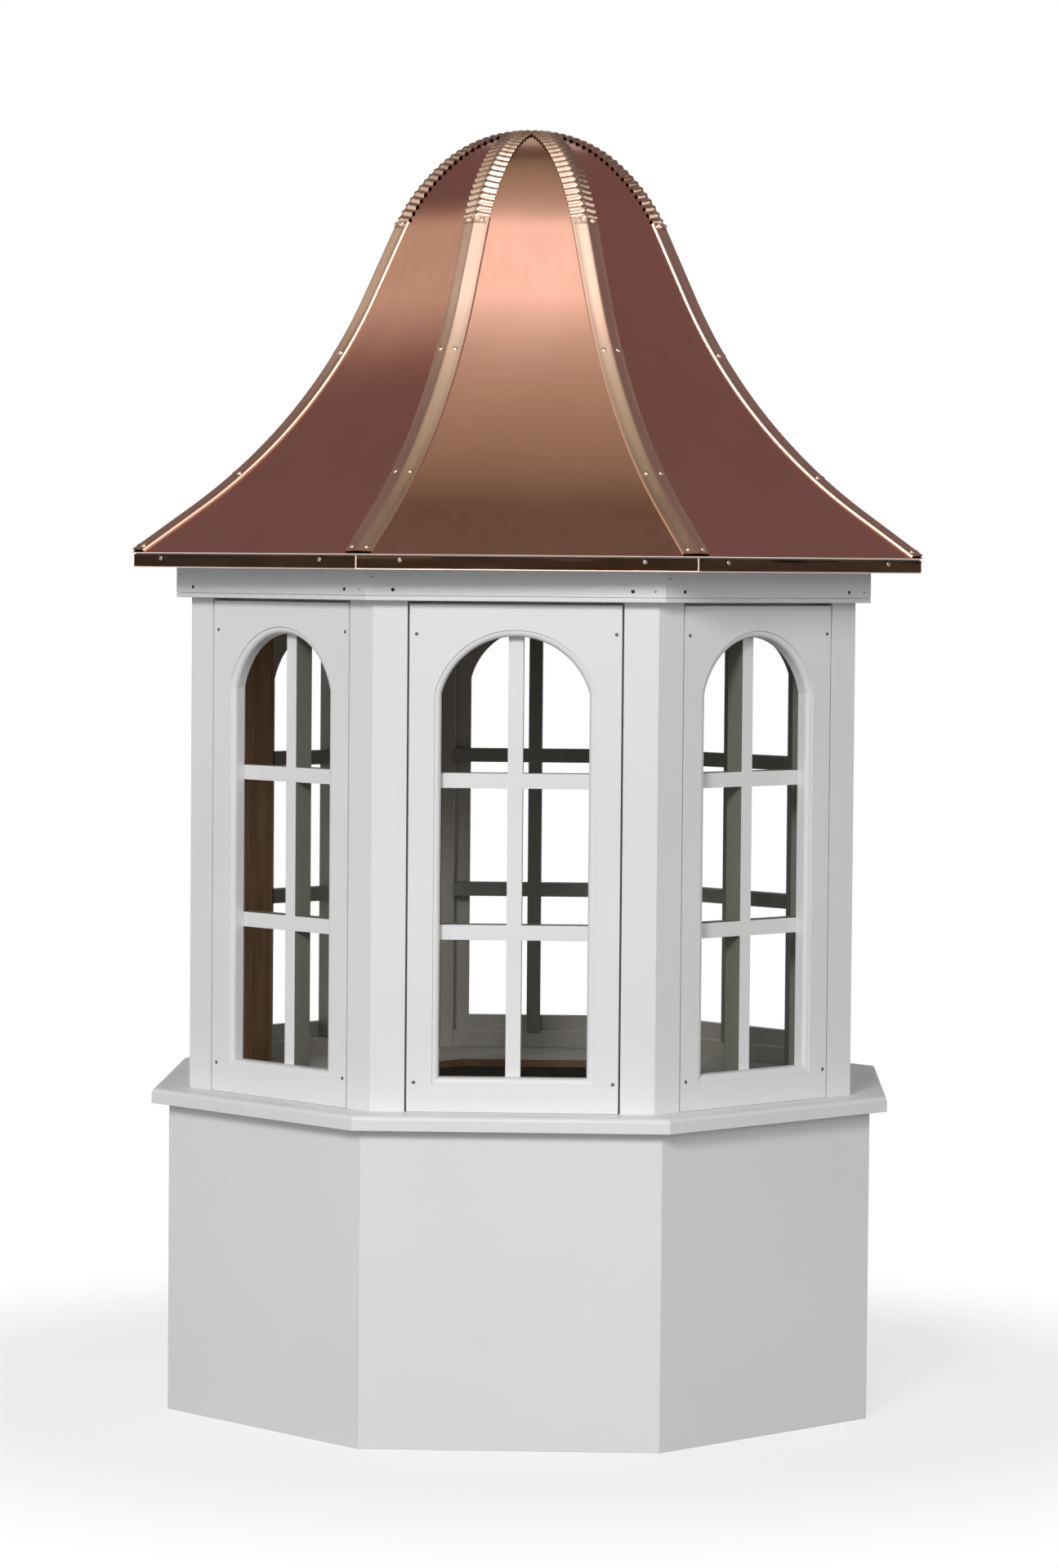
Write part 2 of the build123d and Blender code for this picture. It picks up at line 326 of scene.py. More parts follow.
# %% White vinyl board: satin, all but plain, with edges that the saw left slightly round
clean_low, clean_high = (0.775, 0.772, 0.768), (0.815, 0.813, 0.81)
# Painted shade: darker colours for faces turned inward, on the walls and on the window bars.
wall_painted_shade, bar_painted_shade = (0.35, 0.34, 0.295), (0.165, 0.165, 0.135)
painted_shade_spread = 1.17
vinyl_rough_low, vinyl_rough_high = 0.36, 0.50
sawn_edge = 0.9 * mm


def faces_inward(tree, where, unshaded_to, shade_from):
    """How far a face looks at the axis, fitted to 0..1. Unfitted it is -1 straight away from it, 1 at it."""
    geometry = add(tree, "ShaderNodeNewGeometry")
    level = add(tree, "ShaderNodeVectorMath", operation="MULTIPLY")
    level.inputs[1].default_value = (-1, -1, 0)
    wire(tree, where, level, 0)
    towards_axis = add(tree, "ShaderNodeVectorMath", operation="NORMALIZE")
    wire(tree, level.outputs[0], towards_axis, 0)
    product = add(tree, "ShaderNodeVectorMath", operation="DOT_PRODUCT")
    wire(tree, geometry.outputs["Normal"], product, 0)
    wire(tree, towards_axis.outputs[0], product, 1)
    return share_between(tree, product.outputs["Value"], unshaded_to, shade_from)


def white_vinyl(name, shade_colour, unshaded_to, shade_from):
    """Clean white outside; faces turned inward take a painted shade, a darker colour for the light that does
    not reach them.
    """
    material, tree, shader, where = new_material(name)
    cloud = noise(tree, where, 3.0, 4.0)
    clean = ramp(tree, cloud, [(0.3, clean_low), (0.7, clean_high)])
    painted_shade = ramp(tree, cloud, [(0.3, shade_colour), (0.7, tuple(painted_shade_spread * c for c in shade_colour))])
    inner = faces_inward(tree, where, unshaded_to, shade_from)
    tree.links.new(mixed(tree, inner, clean, painted_shade), shader.inputs["Base Color"])
    satin = fit_range(tree, noise(tree, where, 40.0, 3.0), vinyl_rough_low, vinyl_rough_high)
    tree.links.new(satin, shader.inputs["Roughness"])
    edge = add(tree, "ShaderNodeBevel", samples=4)
    edge.inputs["Radius"].default_value = sawn_edge
    bump(tree, shader, noise(tree, where, 350.0, 2.0), 0.05 * mm, 0.5, edge.outputs["Normal"])
    return material


# Painted shade: walls darken as they turn towards the axis, bars on every face but the outer one.
vinyl = white_vinyl("white_vinyl", wall_painted_shade, unshaded_to=0.45, shade_from=0.65)
bar_vinyl_painted_shade = white_vinyl("white_vinyl_bars", bar_painted_shade, unshaded_to=-0.7, shade_from=-0.5)
print("made", vinyl.name, "and, white on its outer face only,", bar_vinyl_painted_shade.name)

# %% Copper sheet: bright from the mill, with faint streaks along its length and a breath of tarnish


def copper(name, bright, dull, rough_low, rough_high, streak=(60, 60, 4)):
    material, tree, shader, where = new_material(name)
    shader.inputs["Metallic"].default_value = 1.0
    streaks = noise(tree, stretched(tree, where, streak), 1.0, 4.0)
    patches = noise(tree, where, 5.0, 5.0, 0.6)
    tone = ramp(tree, patches, [(0.35, bright), (0.75, dull)])
    fine = ramp(tree, streaks, [(0.3, bright), (0.8, dull)])
    tree.links.new(mixed(tree, 0.35, tone, fine), shader.inputs["Base Color"])
    tree.links.new(fit_range(tree, streaks, rough_low, rough_high), shader.inputs["Roughness"])
    bump(tree, shader, noise(tree, stretched(tree, where, (12, 12, 2)), 1.0, 2.0), 0.4 * mm, 0.35)
    return material


sheet_copper = copper("copper_sheet", (0.93, 0.50, 0.37), (0.84, 0.42, 0.30), 0.16, 0.26)
strip_copper = copper("copper_strip", (1.0, 0.70, 0.54), (0.94, 0.60, 0.44), 0.25, 0.38)
cap_copper = copper("copper_cap", (0.82, 0.58, 0.45), (0.70, 0.46, 0.34), 0.24, 0.32)
# Painted dark reflection: the near-black copper of the eave band.
band_copper_painted_reflection = copper("copper_band", (0.052, 0.026, 0.014), (0.012, 0.006, 0.004), 0.16, 0.26, (6, 6, 60))
# Painted shade: dark copper for the undersides and cut edges of strips and caps.
edge_copper_painted_shade = copper("copper_cut_edge", (0.15, 0.09, 0.075), (0.10, 0.06, 0.05), 0.45, 0.60)
# Painted highlight: pale copper for sheet rims, band beads and corner beads.
copper_painted_highlight = copper("copper_worn_edge", (1.0, 0.80, 0.70), (0.92, 0.68, 0.58), 0.30, 0.45)
coppers = [sheet_copper, strip_copper, cap_copper, band_copper_painted_reflection, edge_copper_painted_shade, copper_painted_highlight]
print("made", *[material.name for material in coppers])

# %% Bare timber and plywood
# Painted shade: the grey that the studs on the right of the cupola take in place of wood.
stud_painted_shade = (0.23, 0.23, 0.205)
painted_shade_edge = 0.02


def timber():
    """Bare wood on the left of the cupola; past x = 0, on its right, a grey painted shade."""
    material, tree, shader, where = new_material("bare_timber")
    grain = noise(tree, stretched(tree, where, (90, 90, 5)), 1.0, 5.0, 0.6)
    colour = ramp(tree, grain, [
        (0.3, (0.20, 0.105, 0.05)), (0.55, (0.33, 0.19, 0.095)), (0.8, (0.42, 0.26, 0.14))])
    side = add(tree, "ShaderNodeSeparateXYZ")
    tree.links.new(where, side.inputs["Vector"])
    painted_shade_share = share_between(tree, side.outputs["X"], 0.0, painted_shade_edge)
    tree.links.new(mixed(tree, painted_shade_share, colour, stud_painted_shade), shader.inputs["Base Color"])
    shader.inputs["Roughness"].default_value = 0.75
    bump(tree, shader, grain, 0.3 * mm, 0.6)
    return material


def plywood():
    """The upper face is grey paint, darker in part as painted shade inside the base; the edge shows the glued
    layers.
    """
    material, tree, shader, where = new_material("plywood_deck")
    layers = add(tree, "ShaderNodeTexWave", bands_direction="Z")
    layers.inputs["Scale"].default_value = 105.0
    layers.inputs["Distortion"].default_value = 0.6
    tree.links.new(where, layers.inputs["Vector"])
    edge = ramp(tree, layers.outputs["Fac"], [(0.2, (0.13, 0.055, 0.03)), (0.8, (0.30, 0.15, 0.08))])
    cloud = noise(tree, where, 12.0, 4.0)
    # Grey paint on the deck top, darkened in part as painted shade.
    paint_and_shade = ramp(tree, cloud, [(0.3, (0.46, 0.46, 0.41)), (0.7, (0.56, 0.56, 0.51))])
    facing = add(tree, "ShaderNodeNewGeometry")
    split = add(tree, "ShaderNodeSeparateXYZ")
    tree.links.new(facing.outputs["Normal"], split.inputs["Vector"])
    upward = fit_range(tree, split.outputs["Z"], 0.0, 1.0)
    tree.links.new(mixed(tree, upward, edge, paint_and_shade), shader.inputs["Base Color"])
    shader.inputs["Roughness"].default_value = 0.65
    return material


bare_timber, deck_plywood = timber(), plywood()
print("made", bare_timber.name, deck_plywood.name)

# %% Steel of nails and screws


def fastener_metal(name, colour, rough):
    material, tree, shader, where = new_material(name)
    shader.inputs["Metallic"].default_value = 1.0
    spots = noise(tree, where, 900.0, 2.0)
    dark = tuple(0.65 * c for c in colour)
    tree.links.new(ramp(tree, spots, [(0.35, dark), (0.65, colour)]), shader.inputs["Base Color"])
    shader.inputs["Roughness"].default_value = rough
    return material


nail_steel = fastener_metal("nail_steel", (0.16, 0.155, 0.15), 0.45)
# Near-black heads: painted shade of the sunk nail holes in the frieze.
dark_steel = fastener_metal("dark_steel", (0.03, 0.03, 0.03), 0.55)
screw_steel = fastener_metal("screw_steel", (0.42, 0.36, 0.33), 0.35)
rivet_copper = fastener_metal("rivet_copper", (1.0, 0.80, 0.68), 0.16)
print("made", nail_steel.name, dark_steel.name, screw_steel.name, rivet_copper.name)

# %% [markdown]
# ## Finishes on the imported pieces
# The boards, rings and rails are right as they are, so each takes a finish by the slot that its record
# names. Strips, band and window bars have a finish of their own.

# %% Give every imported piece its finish
finish_of_slot = {
    "white_vinyl": vinyl,
    "copper_sheet": sheet_copper,
    "framing_timber": bare_timber,
    "plywood": deck_plywood,
}
for part in frame["record"]["subparts"]:
    own = nodes[part["node"]]
    own.data.materials.clear()
    own.data.materials.append(finish_of_slot[part["material_slot"]])
nodes["hip_strips"].data.materials[0] = strip_copper
nodes["eave_band"].data.materials[0] = band_copper_painted_reflection
# Window bars take the bar vinyl: white on the outer face, painted shade on all others.
for name, own in nodes.items():
    if "bars" in name:
        own.data.materials[0] = bar_vinyl_painted_shade
print("finished", len(nodes), "packed pieces")

# %% [markdown]
# ## Roof sheets
# Each side of the roof is one sheet, bent one way only, so it is straight across and follows the bell
# downwards. A hand-bent sheet is never quite true: it is given a slow wave of a fraction of a millimetre,
# which shows only in what it mirrors. A grid that is cut finely along the bend keeps the mirror smooth.

# %% Points of a side of the roof
wave_depth = 0.35 * mm


def side_matrix(index):
    """Turns what is made towards +X to one side of the roof."""
    return Matrix.Rotation(front_angle + roof_turn + 2 * half_turn * index, 4, "Z")


def sheet_point(run, across, lift):
    """A point of the side that faces +X; across goes from -1 at one hip to 1 at the other."""
    apothem, height, _ = bell(run, lift)
    return Vector((apothem, across * apothem * tan(half_turn), height))


def slow_wave(run, across, index):
    """Out-of-true of a hand-bent sheet, nothing at its edges."""
    hold = (1 - across ** 2) * sin(pi * min(1.0, run / eave_run))
    return wave_depth * hold * (sin(9 * run + 1.7 * index) + 0.5 * sin(5.1 * across + 23 * run + index))


sheet_lift = -(strip_sheet + seat_gap)
sheet_start = 1 * mm
sheet_rows, sheet_columns = 150, 13
sheet_thickness = 1.2 * mm


def roof_sheet_piece(index, side):
    last = run_at_apothem(drip_apothem, sheet_lift)
    points = []
    for row in range(sheet_rows):
        run = sheet_start + (last - sheet_start) * row / (sheet_rows - 1)
        for column in range(sheet_columns):
            across = 2 * column / (sheet_columns - 1) - 1
            lift = sheet_lift + slow_wave(run, across, index)
            points.append(side_matrix(index) @ sheet_point(run, across, lift))
    piece = new_mesh(f"copper_sheet_{side}", points, grid_faces(sheet_rows, sheet_columns))
    piece.data.flip_normals()
    # Rim and underside of each sheet take the pale copper, a painted highlight along the drip edge.
    set_finishes(piece, sheet_copper, copper_painted_highlight)
    thicken(piece, sheet_thickness)
    bake(piece)
    shade_smooth(piece)
    finish_piece(piece, "copper_sheet", f"roof_panel_{side}")


for index, side in enumerate(side_names):
    roof_sheet_piece(index, side)

# %% [markdown]
# ## A Geometry Nodes helper
# A node tree is a small machine with named inputs. The helper below makes the tree and its inputs, and a
# second one hands values to a modifier by the input's identifier, which is what Blender stores.

# %% Helpers for geometry trees
input_kinds = {float: "NodeSocketFloat", int: "NodeSocketInt", "object": "NodeSocketObject",
               "material": "NodeSocketMaterial"}


def new_tree(name, inputs):
    tree = bpy.data.node_groups.new(name, "GeometryNodeTree")
    tree.interface.new_socket(name="Geometry", in_out="INPUT", socket_type="NodeSocketGeometry")
    for label, kind in inputs.items():
        tree.interface.new_socket(name=label, in_out="INPUT", socket_type=input_kinds[kind])
    tree.interface.new_socket(name="Geometry", in_out="OUTPUT", socket_type="NodeSocketGeometry")
    entry = add(tree, "NodeGroupInput")
    leave = add(tree, "NodeGroupOutput")
    return tree, entry.outputs, leave.inputs[0]


def run_tree(piece, tree, values):
    """Adds the tree as a modifier and sets its named inputs."""
    modifier = piece.modifiers.new(tree.name, "NODES")
    modifier.node_group = tree
    for item in tree.interface.items_tree:
        if item.item_type == "SOCKET" and item.in_out == "INPUT" and item.name in values:
            modifier[item.identifier] = values[item.name]


# %% [markdown]
# ## Repeating a piece round the roof
# Nearly everything on a cupola comes eight times. This tree takes what is made for one side, sets copies
# of it round the axis, makes them real and gives them their material.

# %% Tree: copies round the axis


def round_tree():
    tree, given, result = new_tree(
        "copies_round_the_axis", {"Copies": int, "First Angle": float, "Finish": "material"})
    points = add(tree, "GeometryNodePoints")
    wire(tree, given["Copies"], points, "Count")
    step = calculate(tree, "DIVIDE", 2 * pi, given["Copies"])
    index = add(tree, "GeometryNodeInputIndex").outputs[0]
    angle = calculate(tree, "ADD", calculate(tree, "MULTIPLY", index, step), given["First Angle"])
    turn = add(tree, "ShaderNodeCombineXYZ")
    wire(tree, angle, turn, "Z")
    copies = add(tree, "GeometryNodeInstanceOnPoints")
    wire(tree, points.outputs[0], copies, "Points")
    wire(tree, given["Geometry"], copies, "Instance")
    wire(tree, turn.outputs[0], copies, "Rotation")
    real = add(tree, "GeometryNodeRealizeInstances")
    wire(tree, copies.outputs[0], real, "Geometry")
    finish = add(tree, "GeometryNodeSetMaterial")
    wire(tree, real.outputs[0], finish, "Geometry")
    wire(tree, given["Finish"], finish, "Material")
    tree.links.new(finish.outputs[0], result)
    return tree


copies_round = round_tree()


def copy_round(piece, finish, first_angle):
    """Repeats a piece on all sides, with its finish, as one plain mesh."""
    run_tree(piece, copies_round, {"Copies": side_count, "First Angle": first_angle, "Finish": finish})
    bake(piece)


print("tree:", copies_round.name)

# %% Sheets that are folded along a hip


def hip_frame_point(run, inward, side, lift):
    """Point by the hip towards +X: down the bell by a run, inward from the hip, on side 1 or -1."""
    apothem, height, slope = bell(run, lift)
    across = max(0.0, apothem * tan(half_turn) - inward)
    x, y = apothem, -side * across
    angle = side * half_turn
    return Vector((x * cos(angle) - y * sin(angle), x * sin(angle) + y * cos(angle), height))


def hip_length(run, steps=60):
    """Length along the hip itself, which is longer than the run down the middle of a side."""
    total, before = 0.0, hip_frame_point(0.0, 0.0, 1, 0.0)
    for step in range(1, steps + 1):
        here = hip_frame_point(run * step / steps, 0.0, 1, 0.0)
        total, before = total + (here - before).length, here
    return total


def folded_sheet(name, runs, section):
    """Both flanges over a hip: section gives (inward, lift) pairs from the ridge to the edge."""
    both = [(1, point) for point in reversed(section[1:])] + [(-1, point) for point in section]
    points = [hip_frame_point(run, inward, side, lift)
              for run in runs for side, (inward, lift) in both]
    return new_mesh(name, points, grid_faces(len(runs), len(both)))


def even_runs(first, last, count):
    return [first + (last - first) * step / (count - 1) for step in range(count)]


flange_reach = strip_width / cos(half_turn)
hip_angle = front_angle + half_turn + roof_turn

# %% [markdown]
# ## Hip strips
# A strip is folded in a long press to one angle, but the angle between two sides of the roof changes down
# the bell. So the strip rides a little high along its ridge and is drawn down by rivets at its edges. Near
# each edge a low hem stiffens it.

# %% Strips
strip_thickness = 1.0 * mm
ridge_lift = 0.4 * mm
edge_lift = -1.0 * mm
hem_height = 0.45 * mm
hem_shares = (0.92, 0.96)
fold_reach = 3.5 * mm
fold_sink = 0.5 * mm
hem_overlap = 0.1 * mm
cap_drop = 136.5 * mm
cap_lap = 8 * mm
strip_end_gap = 1.0 * mm
strip_rows = 120
cap_foot = bell_top + seat_gap + cap_sheet - cap_drop
strip_top_run = run_at_height(cap_foot + cap_lap)


def strip_section():
    """The last two points are the hem's edge, turned down onto the roof sheet."""
    section = []
    for share in (0.0, 0.06, 0.12, 0.18, 0.5, 0.87) + hem_shares + (0.99,):
        inward = share * flange_reach
        lift = ridge_lift + (edge_lift - ridge_lift) * share
        lift -= fold_sink * max(0.0, 1 - inward / fold_reach) ** 2
        lift += hem_height * (share in hem_shares)
        section.append((inward, lift))
    return section + [(flange_reach, sheet_lift - hem_overlap)]


strip_runs = even_runs(strip_top_run, eave_run - strip_end_gap, strip_rows)
strips = folded_sheet("folded_hip_strips", strip_runs, strip_section())
copy_round(strips, strip_copper, hip_angle)
# Undersides and cut edges of the strips take the dark copper, a painted shade.
set_finishes(strips, strip_copper, edge_copper_painted_shade)
thicken(strips, strip_thickness, 1.0)
bake(strips)
shade_smooth(strips, 50)
finish_piece(strips, "copper_sheet", "hip_strips")

# %% [markdown]
# ## Crimped caps
# Over the upper end of every hip strip lies a cap, crimped in a machine so that it can follow the tight
# curve of the crown: fine pleats across its two flanges. The pleats are a wave along the hip. So the cap is
# first made plain and finely divided, with its distance down the hip stored on each point. A tree then
# lifts it along its normals by that wave.

# %% Tree: crimp a plain cap
pleat_pitch = 10.4 * mm
pleat_depth = 1.7 * mm
pleat_rise = 0.42
plain_start = 22 * mm
plain_end = 9 * mm


def stored(tree, name):
    node = add(tree, "GeometryNodeInputNamedAttribute", data_type="FLOAT")
    node.inputs["Name"].default_value = name
    return node.outputs["Attribute"]


def crimp_tree():
    """Each pleat rises over a short share of the pitch and runs down over the rest."""
    labels = ("Pitch", "Depth", "Rise", "Plain Before", "Plain After")
    tree, given, result = new_tree("crimp", dict.fromkeys(labels, float))
    run = stored(tree, "down_the_hip")
    place = calculate(tree, "FRACT", calculate(tree, "DIVIDE", run, given["Pitch"]), 0.0)
    up = calculate(tree, "DIVIDE", place, given["Rise"])
    left = calculate(tree, "SUBTRACT", 1.0, place)
    down = calculate(tree, "DIVIDE", left, calculate(tree, "SUBTRACT", 1.0, given["Rise"]))
    ridge = calculate(tree, "MINIMUM", up, down)
    turn = calculate(tree, "MULTIPLY", calculate(tree, "SUBTRACT", ridge, 0.5), pi)
    wave = calculate(tree, "SINE", turn, 0.0)
    pleated = calculate(tree, "MULTIPLY", calculate(tree, "LESS_THAN", run, given["Plain After"]),
                        calculate(tree, "GREATER_THAN", run, given["Plain Before"]))
    pleated = calculate(tree, "MULTIPLY", pleated, stored(tree, "off_the_fold"))
    height = calculate(tree, "MULTIPLY", calculate(tree, "MULTIPLY", wave, pleated), given["Depth"])
    normal = add(tree, "GeometryNodeInputNormal")
    offset = add(tree, "ShaderNodeVectorMath", operation="SCALE")
    wire(tree, normal.outputs[0], offset, 0)
    wire(tree, height, offset, "Scale")
    move = add(tree, "GeometryNodeSetPosition")
    wire(tree, given["Geometry"], move, "Geometry")
    wire(tree, offset.outputs[0], move, "Offset")
    tree.links.new(move.outputs[0], result)
    return tree


crimp = crimp_tree()
print("tree:", crimp.name)

# %% Caps
cap_start = 0.6 * mm
cap_run = run_at_height(cap_foot)
cap_rows = 330
cap_widening = 1.03
cap_thickness = 0.7 * mm
cap_middle = 0.7 * mm
cap_edge = -0.7 * mm
cap_flare = 0.8 * mm
flare_length = 10 * mm


def cap_section():
    section = []
    for share in (0.0, 0.08, 0.2, 0.4, 0.7, 1.0):
        sink = fold_sink * max(0.0, 1 - share * flange_reach / fold_reach) ** 2
        lift = cap_middle + (cap_edge - cap_middle) * share - sink
        section.append((cap_widening * share * flange_reach, lift))
    return section


def plain_cap():
    """Each point stores how far down the hip and off the fold it lies; pleats run square to the hip."""
    runs = even_runs(cap_start, cap_run, cap_rows)
    section = cap_section()
    piece = folded_sheet("crimped_caps", runs, section)
    columns = 2 * len(section) - 1
    down, off_fold = [], []
    for run in runs:
        slope = bell(run)[2]
        lean = sin(half_turn) * cos(slope) / hypot(cos(half_turn), sin(half_turn) * cos(slope))
        whole = hip_length(run, steps=20)
        for column in range(columns):
            inward = section[abs(column - len(section) + 1)][0]
            down.append(whole - inward * lean)
            off_fold.append(min(1.0, inward / fold_reach))
    for name, values in (("down_the_hip", down), ("off_the_fold", off_fold)):
        piece.data.attributes.new(name, "FLOAT", "POINT").data.foreach_set("value", values)
    off_the_steep = Vector((sin(steep_slope), 0, cos(steep_slope)))
    foot = hip_length(cap_run)
    for point, distance in zip(piece.data.vertices, down):
        point.co += cap_flare * max(0.0, 1 - (foot - distance) / flare_length) * off_the_steep
    return piece


caps = plain_cap()
run_tree(caps, crimp, {"Pitch": pleat_pitch, "Depth": pleat_depth, "Rise": pleat_rise,
                       "Plain Before": plain_start, "Plain After": hip_length(cap_run) - plain_end})
copy_round(caps, cap_copper, hip_angle)
# Undersides and cut edges of the caps take the dark copper, a painted shade.
set_finishes(caps, cap_copper, edge_copper_painted_shade)
thicken(caps, cap_thickness, 0.0)
bake(caps)
shade_smooth(caps, 60)
finish_piece(caps, "copper_sheet", "crown_caps")

# %% [markdown]
# ## Eave band
# Round the eave runs a copper band, coloured near black as a painted dark reflection. Its two long edges
# are folded over into thin beads, the lower one in pale copper as a painted highlight. A corner piece,
# also pale as a painted highlight, covers each joint, and ladders have left the band slightly wavy.

# %% Band
band_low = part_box("eave_band")[0].z
band_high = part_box("eave_band")[1].z
bead = 0.9 * mm
band_face = -0.4 * mm
band_inside = -2.4 * mm
band_steps = 64
dent_depth = 0.30 * mm


def band_section():
    """Closed section as (out, height, bright) points; the lower bead takes the pale copper, a painted
    highlight.
    """
    half = [(0.5, 0.0), (0.9, 0.35), (1.0, 0.8), (0.75, 1.3), (0.3, 1.7)]
    low = [(band_face - bead / 2 + out * bead, band_low + up * bead, True) for out, up in half]
    high = [(out, band_high - (height - band_low), False) for out, height, _ in reversed(low)]
    plain = [(band_face, band_low + (band_high - band_low) * share, False)
             for share in (0.14, 0.35, 0.65, 0.86)]
    return low + plain + high + [(band_inside, band_high, False), (band_inside, band_low, False)]


def wavy(place, height, index):
    """How far the band is knocked in, in metres."""
    middle = (height - band_low) / (band_high - band_low)
    along = 26 * place + 2.3 * index
    ripple = sin(along) + 0.7 * sin(2.7 * along + 5 * middle + index) - 0.6
    return dent_depth * sin(pi * middle) * ripple


def band_side(index):
    section = band_section()
    count = len(section)
    half_length = eave_apothem * tan(half_turn)
    points, faces, finishes = [], [], []
    for step in range(band_steps + 1):
        share = 2 * step / band_steps - 1
        for out, height, _ in section:
            dent = 0.0
            if out == band_face:
                dent = wavy(share * half_length, height, index) * (1 - share ** 8)
            apothem = eave_apothem + out + dent
            points.append(side_matrix(index) @ Vector((apothem, share * apothem * tan(half_turn), height)))
        if step:
            for a in range(count):
                b, start = (a + 1) % count, (step - 1) * count
                faces.append((start + a, start + count + a, start + count + b, start + b))
                finishes.append(1 if section[a][2] and section[b][2] else 0)
    last = band_steps * count
    faces += [tuple(range(count)), tuple(reversed(range(last, last + count)))]
    piece = new_mesh(f"eave_band_{index}", points, faces)
    set_finishes(piece, band_copper_painted_reflection, copper_painted_highlight)
    piece.data.polygons.foreach_set("material_index", finishes + [0, 0])
    return piece


def ring(radius, sides):
    return [(radius * cos(2 * pi * s / sides), radius * sin(2 * pi * s / sides)) for s in range(sides)]


def corner_bead():
    """Upright rod that folds round the corner towards +X."""
    rim = eave_apothem / cos(half_turn) - 0.6 * bead
    sides = 10
    points = [(rim + x, y, height) for height in (band_low, band_high) for x, y in ring(bead, sides)]
    faces = [(s, (s + 1) % sides, sides + (s + 1) % sides, sides + s) for s in range(sides)]
    faces += [tuple(reversed(range(sides))), tuple(range(sides, 2 * sides))]
    return new_mesh("corner_beads", points, faces)


def join(name, pieces):
    """One mesh of several, each with its own finishes."""
    for piece in bpy.context.selected_objects:
        piece.select_set(False)
    for piece in pieces:
        piece.select_set(True)
    bpy.context.view_layer.objects.active = pieces[0]
    bpy.ops.object.join()
    pieces[0].name = pieces[0].data.name = name
    return pieces[0]


corner_beads = corner_bead()
# The corner beads take the pale copper, a painted highlight.
copy_round(corner_beads, copper_painted_highlight, hip_angle)
set_finishes(corner_beads, copper_painted_highlight)
band_sides = [band_side(index) for index in range(side_count)]
band = join("folded_eave_band", band_sides + [corner_beads])
shade_smooth(band, 50)
finish_piece(band, "copper_sheet", "eave_band")

# %% [markdown]
# ## Rivets, screws and nails
# A fastener's head is a small turned shape: a profile spun round its axis. One tree sets such a head on
# every point of a plan, facing the way that the point says, and a second tree copies the set to all sides.

# %% Turned heads
foot_depth = 0.5 * mm


def turned(name, profile, steps=12):
    """Closed shape turned round +Z from points of radius and height, first and last on the axis."""
    points, faces = [(0, 0, profile[0][1])], []
    for radius, height in profile[1:-1]:
        points += [(x, y, height) for x, y in ring(radius, steps)]
    points.append((0, 0, profile[-1][1]))
    rings = len(profile) - 2
    for s in range(steps):
        t = (s + 1) % steps
        faces.append((0, 1 + t, 1 + s))
        for r in range(rings - 1):
            a, b = 1 + r * steps, 1 + (r + 1) * steps
            faces.append((a + s, a + t, b + t, b + s))
        last = 1 + (rings - 1) * steps
        faces.append((len(points) - 1, last + s, last + t))
    piece = new_mesh(name, points, faces)
    shade_smooth(piece, 50)
    return piece


def head_profile(radius, height, hole, depth):
    """A low dome with a dimple, its foot sunk a little into the sheet."""
    foot = [(0, -foot_depth), (radius, -foot_depth)]
    dome = [(radius, 0.15 * height), (0.8 * radius, 0.7 * height), (hole + 0.12 * radius, height)]
    dimple = [(hole, 0.95 * height), (0.8 * hole, height - depth), (0, height - depth)]
    return foot + dome + dimple


rivet_head = turned("rivet_head", head_profile(3.6 * mm, 2.8 * mm, 0.7 * mm, 0.6 * mm))
screw_head = turned("screw_head", head_profile(3.4 * mm, 1.8 * mm, 1.3 * mm, 0.9 * mm))
nail_head = turned("nail_head", head_profile(2.4 * mm, 0.5 * mm, 0.9 * mm, 0.3 * mm), 10)
pin_head = turned("pin_head", head_profile(1.3 * mm, 0.3 * mm, 0.5 * mm, 0.2 * mm), 8)
print("heads:", rivet_head.name, screw_head.name, nail_head.name, pin_head.name)

# %% Tree: a head on every point


def head_tree():
    tree, given, result = new_tree("heads_on_points", {"Head": "object", "Tilt": float, "Seed": int})
    head = add(tree, "GeometryNodeObjectInfo", transform_space="ORIGINAL")
    wire(tree, given["Head"], head, "Object")
    facing = add(tree, "GeometryNodeInputNamedAttribute", data_type="FLOAT_VECTOR")
    facing.inputs["Name"].default_value = "facing"
    amount = add(tree, "FunctionNodeRandomValue", data_type="FLOAT_VECTOR")
    amount.inputs["Min"].default_value = (-1, -1, -1)
    wire(tree, given["Seed"], amount, "Seed")
    lean = add(tree, "ShaderNodeVectorMath", operation="SCALE")
    wire(tree, amount.outputs["Value"], lean, 0)
    wire(tree, given["Tilt"], lean, "Scale")
    towards = add(tree, "ShaderNodeVectorMath", operation="ADD")
    wire(tree, facing.outputs["Attribute"], towards, 0)
    wire(tree, lean.outputs[0], towards, 1)
    align = add(tree, "FunctionNodeAlignRotationToVector", axis="Z")
    wire(tree, towards.outputs[0], align, "Vector")
    copies = add(tree, "GeometryNodeInstanceOnPoints")
    wire(tree, given["Geometry"], copies, "Points")
    wire(tree, head.outputs["Geometry"], copies, "Instance")
    wire(tree, align.outputs[0], copies, "Rotation")
    real = add(tree, "GeometryNodeRealizeInstances")
    wire(tree, copies.outputs[0], real, "Geometry")
    tree.links.new(real.outputs[0], result)
    return tree


heads_on_points = head_tree()
head_tilt = 0.04


